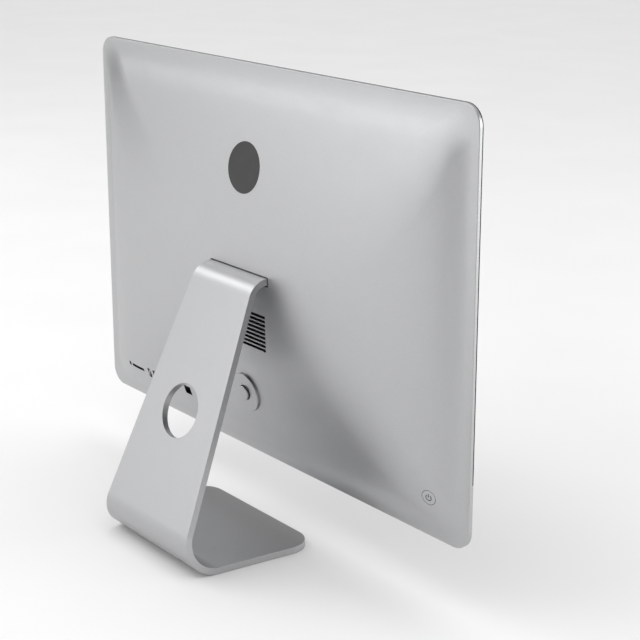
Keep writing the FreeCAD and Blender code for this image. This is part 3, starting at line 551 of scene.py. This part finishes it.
def port_tongue(node):
    """The moulded tongue that fills most of an upright socket, with contacts along one side."""
    low, high = (Vector(corner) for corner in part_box(node))
    middle, size = (low + high) / 2, high - low
    rear = high.y - TONGUE_RECESS
    half_x, half_z = size.x * TONGUE_SHARES[0], size.z * TONGUE_SHARES[1]
    shape = bmesh.new()
    block(shape, (middle.x - half_x, middle.y, middle.z - half_z),
          (middle.x + half_x, rear, middle.z + half_z))
    tongue = piece(node + "_tongue", shape, tongue_grey, "display")
    soften(tongue, TONGUE_ROUND, 2)
    shape = bmesh.new()
    side = middle.x - half_x
    for share in CONTACT_SHARES:
        z = middle.z + half_z * share
        block(shape, (side - CONTACT_PROUD, middle.y, z - CONTACT_HALF),
              (side + CONTACT_SINK, rear - CONTACT_RECESS, z + CONTACT_HALF))
    contacts = piece(node + "_contacts", shape, brass, "display", smooth=False)


for name in starting("usb_socket", "fast_socket"):
    port_tongue(name)


# ---------------------------------------------------------------- power symbol

SYMBOL_RADIUS = 3.1 * MM
SYMBOL_STROKE = 0.95 * MM
SYMBOL_PROUD = 0.03 * MM
SYMBOL_SUNK = 0.12 * MM
SYMBOL_OPENING = math.radians(38)
BAR_START = 0.2 * MM
BAR_PAST_RING = 0.9 * MM
ARC_STEPS, BAR_STEPS = 40, 6


def inlay(shape, outline_pairs, depth_at):
    """A thin closed strip on the surface; each pair is the (x, z) of its two edges."""
    loops = []
    for first, second in outline_pairs:
        ring = []
        for (x, z), lift in ((first, SYMBOL_PROUD), (second, SYMBOL_PROUD), (second, -SYMBOL_SUNK),
                             (first, -SYMBOL_SUNK)):
            ring.append(shape.verts.new((x, depth_at(x, z) + lift, z)))
        loops.append(ring)
    loop_faces(shape, loops)


def power_symbol():
    """The common on and off sign: an open ring and a bar, printed on the button."""
    low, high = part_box("power_button")
    middle_x, middle_z = (low[0] + high[0]) / 2, (low[2] + high[2]) / 2
    depth_at = surface_finder("power_button")
    inner, outer = SYMBOL_RADIUS - SYMBOL_STROKE / 2, SYMBOL_RADIUS + SYMBOL_STROKE / 2
    shape = bmesh.new()
    arc = []
    for turn in steps(SYMBOL_OPENING, 2 * math.pi - SYMBOL_OPENING, ARC_STEPS):
        across, up = math.sin(turn), math.cos(turn)
        arc.append(tuple((middle_x + radius * across, middle_z + radius * up)
                         for radius in (inner, outer)))
    inlay(shape, arc, depth_at)
    half = SYMBOL_STROKE / 2
    bar = [((middle_x - half, middle_z + up), (middle_x + half, middle_z + up))
           for up in steps(BAR_START, SYMBOL_RADIUS + BAR_PAST_RING, BAR_STEPS)]
    inlay(shape, bar, depth_at)
    ink = plain("symbol_ink", grey(0.02), 0.5)
    item = piece("power_symbol", shape, ink, "power_button", smooth=False)


power_symbol()


# ---------------------------------------------------------------- stage

MIDDLE = (0.0, 0.0, 0.28)
FLOOR_REACH = 8.0
WORLD_STRENGTH = 0.35
OVERHEAD_STRENGTH = 1.65
OVERHEAD_ANGLE = math.radians(75)
# Name, place, side of the square and power of each light that is aimed at the object.
AREA_LIGHTS = (("key", (1.6, 2.5, 1.6), 3.0, 37.0),
               ("bend", (2.3, 0.9, 2.1), 1.0, 11.0),
               ("side", (-2.1, -1.9, 0.8), 1.5, 24.0))
CAMERA_PLACE = (-1.2919, 0.9015, 0.7567)
# Direction of view: turn from +X about the vertical, then dip below level, in radians.
CAMERA_TURN, CAMERA_DIP = -0.6875, 0.2695
SENSOR_WIDTH, LENS, SHIFT_UP = 36.0, 85.84, -0.1


def floor():
    """A pale plane with the faintest unevenness of tone."""
    shape = bmesh.new()
    bmesh.ops.create_grid(shape, x_segments=2, y_segments=2, size=FLOOR_REACH)
    item = placed("floor", shape)
    shader = Shader("pale_floor", Roughness=0.7)
    shader.colour(shader.mix(shader.spread(shader.noise(4, 2.0), 0, 1), grey(0.88), grey(0.90)))
    item.data.materials.append(shader.material)


def area_light(name, where, size, power):
    """A square light aimed at the middle of the object."""
    data = bpy.data.lights.new(name, "AREA")
    data.shape = "SQUARE"
    data.size = size
    data.energy = power
    item = bpy.data.objects.new(name, data)
    item.location = where
    item.rotation_euler = (Vector(MIDDLE) - Vector(where)).to_track_quat("-Z", "Y").to_euler()
    scene.collection.objects.link(item)


def overhead_light():
    """Soft light from straight above, the same all over the floor."""
    data = bpy.data.lights.new("overhead", "SUN")
    data.energy = OVERHEAD_STRENGTH
    data.angle = OVERHEAD_ANGLE
    scene.collection.objects.link(bpy.data.objects.new("overhead", data))


def world():
    """Even white light from all around."""
    made = bpy.data.worlds.new("studio")
    made.use_nodes = True
    background = made.node_tree.nodes["Background"]
    background.inputs["Color"].default_value = (1.0, 1.0, 1.0, 1.0)
    background.inputs["Strength"].default_value = WORLD_STRENGTH
    scene.world = made


def camera():
    """Looks down at the object's back, from behind its -X side."""
    data = bpy.data.cameras.new("camera")
    data.sensor_width = SENSOR_WIDTH
    data.lens = LENS
    data.shift_y = SHIFT_UP
    item = bpy.data.objects.new("camera", data)
    item.location = CAMERA_PLACE
    level = math.cos(CAMERA_DIP)
    forward = Vector((math.cos(CAMERA_TURN) * level, math.sin(CAMERA_TURN) * level, -math.sin(CAMERA_DIP)))
    item.rotation_euler = forward.to_track_quat("-Z", "Y").to_euler()
    scene.collection.objects.link(item)
    scene.camera = item


floor()
world()
for light in AREA_LIGHTS:
    area_light(*light)
overhead_light()
camera()
scene.view_settings.view_transform = "Standard"
